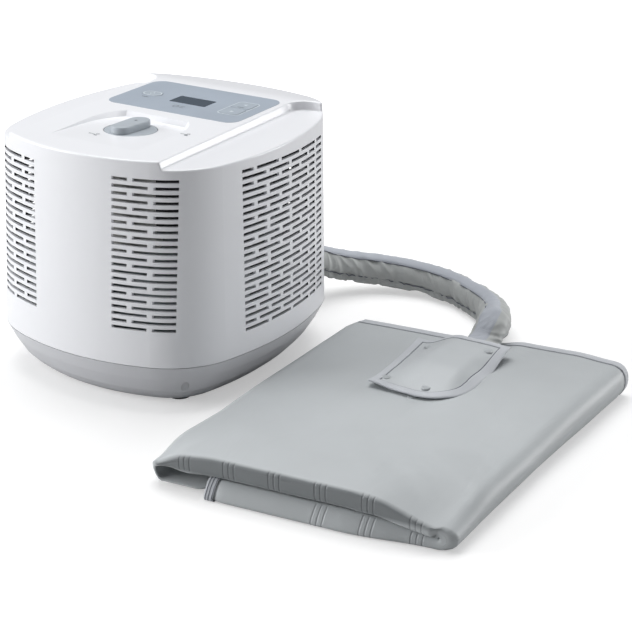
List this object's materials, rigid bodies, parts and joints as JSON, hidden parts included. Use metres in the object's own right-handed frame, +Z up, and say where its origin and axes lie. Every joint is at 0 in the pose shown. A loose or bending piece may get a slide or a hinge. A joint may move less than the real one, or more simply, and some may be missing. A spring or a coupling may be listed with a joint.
{
  "type": "water cooling mattress pad",
  "caption": "Chiller unit with grilles, sloped control panel and bayonet filler cap, joined by a sleeved twin hose to a folded water mat.",
  "frame": {"origin": "on the floor, at the middle of the set's outline in plan, cords left out", "axes": "+X from the chiller to the folded mat, +Y from the chiller's front to its hose side, +Z up"},
  "size_m": [0.5235, 0.4921, 0.2262],
  "materials": {
    "white_shell": "fine satin texture",
    "grey_base": "satin",
    "panel_grey": "satin blue-grey overlay",
    "window_smoke": "glossy smoked window",
    "key_grey": "satin",
    "cap_grey": "satin",
    "inner_black": "matte",
    "tank_clear": "milky translucent",
    "inner_white": "matte",
    "rubber_grey": "matte",
    "seal_rubber": "matte",
    "hose_silicone": "milky",
    "steel_screw": "zinc plated",
    "sheet_steel": "galvanised sheet",
    "aluminium": "extruded",
    "foam_grey": "closed-cell foam",
    "board_green": "circuit board",
    "part_dark": "moulded component",
    "ceramic_white": "ceramic",
    "mat_fabric": "soft knit",
    "tape_fabric": "woven tape",
    "sleeve_fabric": "gathered fabric",
    "snap_plastic": "moulded"
  },
  "bodies": {
    "chiller_and_mat": {"upper_housing": "white_shell", "base_housing": "grey_base", "rubber_feet": "rubber_grey", "housing_screws": "steel_screw", "chassis_plate": "inner_black", "control_panel": "panel_grey", "display_window": "window_smoke", "display_module": "part_dark", "control_board": "board_green", "key_switches": "part_dark", "board_screws": "steel_screw", "filler_neck": "inner_black", "water_tank": "tank_clear", "tank_gasket": "seal_rubber", "tank_lid": "tank_clear", "lid_screws": "steel_screw", "float_stem": "inner_white", "pump_housing": "inner_black", "pump_cover": "inner_black", "pump_motor": "part_dark", "cooler_stand": "sheet_steel", "cold_block": "aluminium", "block_insulation": "foam_grey", "peltier_modules": "ceramic_white", "heat_sink": "aluminium", "fan_frame": "inner_black", "fan_screws": "steel_screw", "hose_port": "grey_base", "power_inlet": "inner_black", "power_board": "board_green", "transformer": "part_dark", "board_capacitors": "part_dark", "tank_suction_hose": "hose_silicone", "pump_feed_hose": "hose_silicone", "block_delivery_hose": "hose_silicone", "tank_return_hose": "hose_silicone", "sleeve_neck": "sleeve_fabric", "hose_couplings": "snap_plastic", "mat_ports": "snap_plastic", "mat": "mat_fabric", "mat_edge_binding": "tape_fabric", "mat_end_binding": "tape_fabric", "snap_studs": "snap_plastic", "hose_sleeve": "sleeve_fabric", "supply_hose": "hose_silicone", "return_hose": "hose_silicone"},
    "power_key": {"power_key": "key_grey"},
    "temp_up_key": {"temp_up_key": "key_grey"},
    "temp_down_key": {"temp_down_key": "key_grey"},
    "cap": {"filler_cap": "cap_grey", "cap_seal": "seal_rubber"},
    "float": {"level_float": "inner_white"},
    "fan": {"fan_rotor": "inner_black"},
    "impeller": {"pump_impeller": "inner_white"},
    "flap": {"cover_flap": "mat_fabric", "flap_binding": "tape_fabric", "snap_caps": "snap_plastic"}
  },
  "joints": [
    {"name": "power_key_press", "type": "slide", "parent": "chiller_and_mat", "child": "power_key", "axis": [0, 0.044, -0.999], "range_m": [0, 0.0006], "stiffness_N_per_m": 800},
    {"name": "temp_up_key_press", "type": "slide", "parent": "chiller_and_mat", "child": "temp_up_key", "axis": [0, 0.044, -0.999], "range_m": [0, 0.0006], "stiffness_N_per_m": 800},
    {"name": "temp_down_key_press", "type": "slide", "parent": "chiller_and_mat", "child": "temp_down_key", "axis": [0, 0.044, -0.999], "range_m": [0, 0.0006], "stiffness_N_per_m": 800},
    {"name": "cap_turn", "type": "hinge", "parent": "chiller_and_mat", "child": "cap", "pos_m": [-0.13525, -0.02136, 0.214], "axis": [0, 0, 1], "range_deg": [0, 90]},
    {"name": "float_rise", "type": "slide", "parent": "chiller_and_mat", "child": "float", "axis": [0, 0, 1], "range_m": [0, 0.024]},
    {"name": "fan_spin", "type": "hinge", "parent": "chiller_and_mat", "child": "fan", "pos_m": [-0.13525, 0.12664, 0.145], "axis": [0, 1, 0], "continuous": true},
    {"name": "impeller_spin", "type": "hinge", "parent": "chiller_and_mat", "child": "impeller", "pos_m": [-0.05125, 0.06914, 0.076], "axis": [0, 1, 0], "continuous": true},
    {"name": "flap_lift", "type": "hinge", "parent": "chiller_and_mat", "child": "flap", "pos_m": [0.12975, 0.11364, 0.0429], "axis": [-1, 0, 0], "range_deg": [0, 140]}
  ]
}
